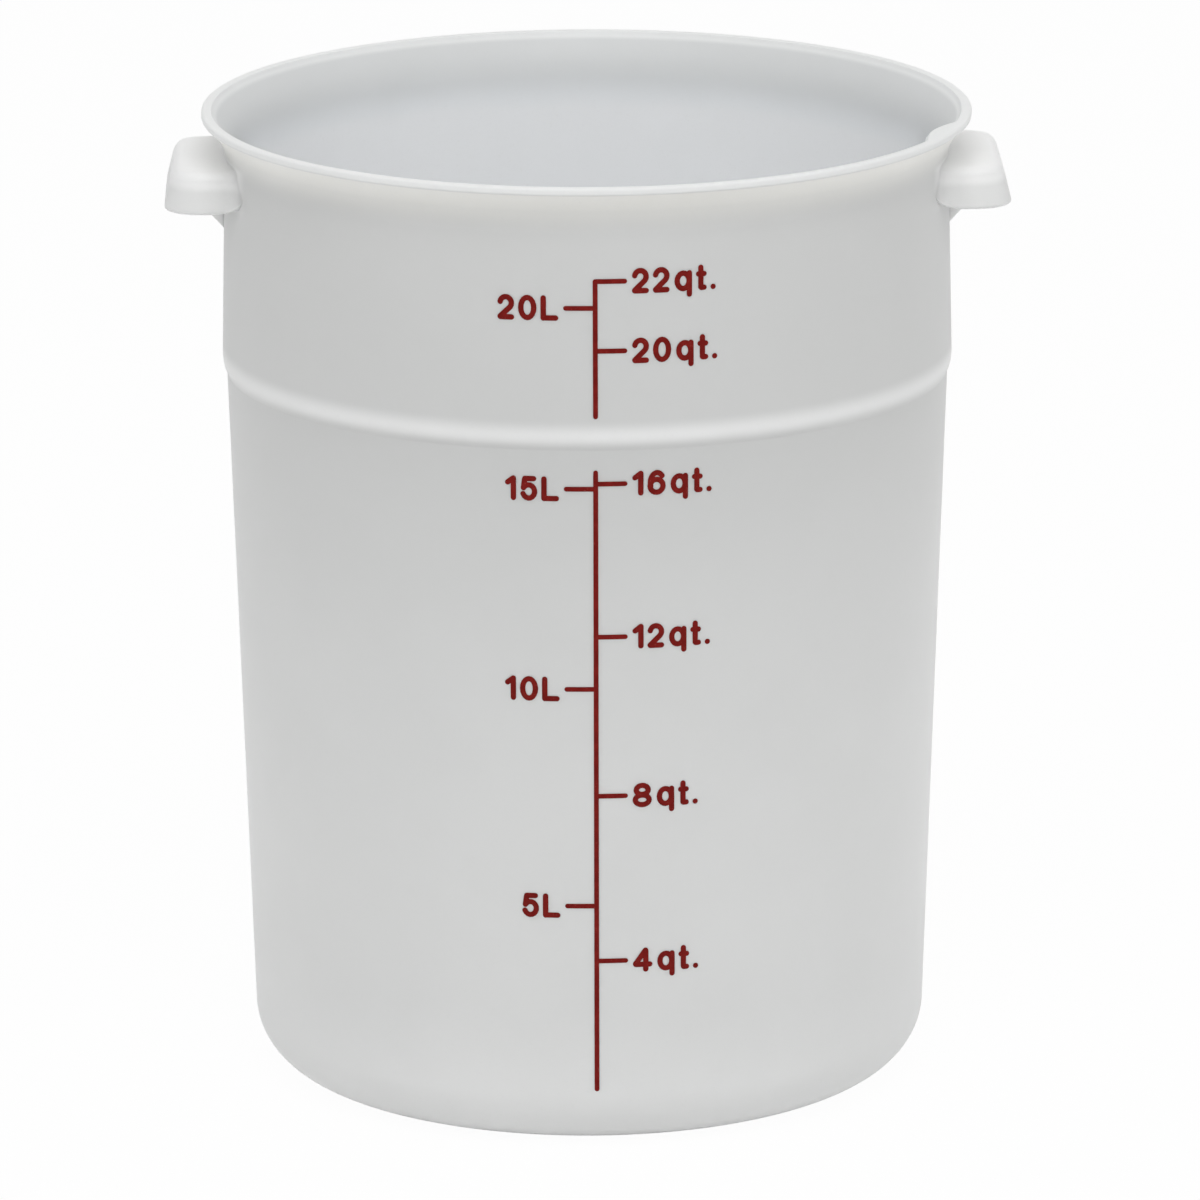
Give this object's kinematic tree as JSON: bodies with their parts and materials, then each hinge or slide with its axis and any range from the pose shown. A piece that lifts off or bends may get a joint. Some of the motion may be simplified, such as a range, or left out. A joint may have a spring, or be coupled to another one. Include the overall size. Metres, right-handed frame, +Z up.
{
  "type": "food storage container",
  "caption": "Open round moulded plastic food storage tub with a tapered wall, stepped upper band, flat flared lip, lug handles and a printed capacity scale.",
  "frame": {"origin": "centre of the base, on the plane that the foot ring stands on", "axes": "+Z up along the tub's axis, -Y towards the printed scale at the front, +X towards the right handle"},
  "size_m": [0.3342, 0.3048, 0.391],
  "materials": {
    "white_polyethylene": "satin moulded white polyethylene, slightly translucent at thin edges",
    "red_ink": "dark red screen-printed ink, slightly glossy"
  },
  "bodies": {
    "root": {"tub": "white_polyethylene", "left_handle": "white_polyethylene", "right_handle": "white_polyethylene", "scale_line_upper": "red_ink", "scale_line_lower": "red_ink", "print_22qt_digit_1": "red_ink", "print_22qt_digit_2": "red_ink", "print_22qt_letter_q": "red_ink", "print_22qt_letter_t": "red_ink", "print_22qt_dot": "red_ink", "print_20l_digit_1": "red_ink", "print_20l_digit_2": "red_ink", "print_20l_letter_l": "red_ink", "print_20qt_digit_1": "red_ink", "print_20qt_digit_2": "red_ink", "print_20qt_letter_q": "red_ink", "print_20qt_letter_t": "red_ink", "print_20qt_dot": "red_ink", "print_16qt_digit_1": "red_ink", "print_16qt_digit_2": "red_ink", "print_16qt_letter_q": "red_ink", "print_16qt_letter_t": "red_ink", "print_16qt_dot": "red_ink", "print_15l_digit_1": "red_ink", "print_15l_digit_2": "red_ink", "print_15l_letter_l": "red_ink", "print_12qt_digit_1": "red_ink", "print_12qt_digit_2": "red_ink", "print_12qt_letter_q": "red_ink", "print_12qt_letter_t": "red_ink", "print_12qt_dot": "red_ink", "print_10l_digit_1": "red_ink", "print_10l_digit_2": "red_ink", "print_10l_letter_l": "red_ink", "print_8qt_digit_1": "red_ink", "print_8qt_letter_q": "red_ink", "print_8qt_letter_t": "red_ink", "print_8qt_dot": "red_ink", "print_5l_digit_1": "red_ink", "print_5l_letter_l": "red_ink", "print_4qt_digit_1": "red_ink", "print_4qt_letter_q": "red_ink", "print_4qt_letter_t": "red_ink", "print_4qt_dot": "red_ink"}
  },
  "joints": []
}
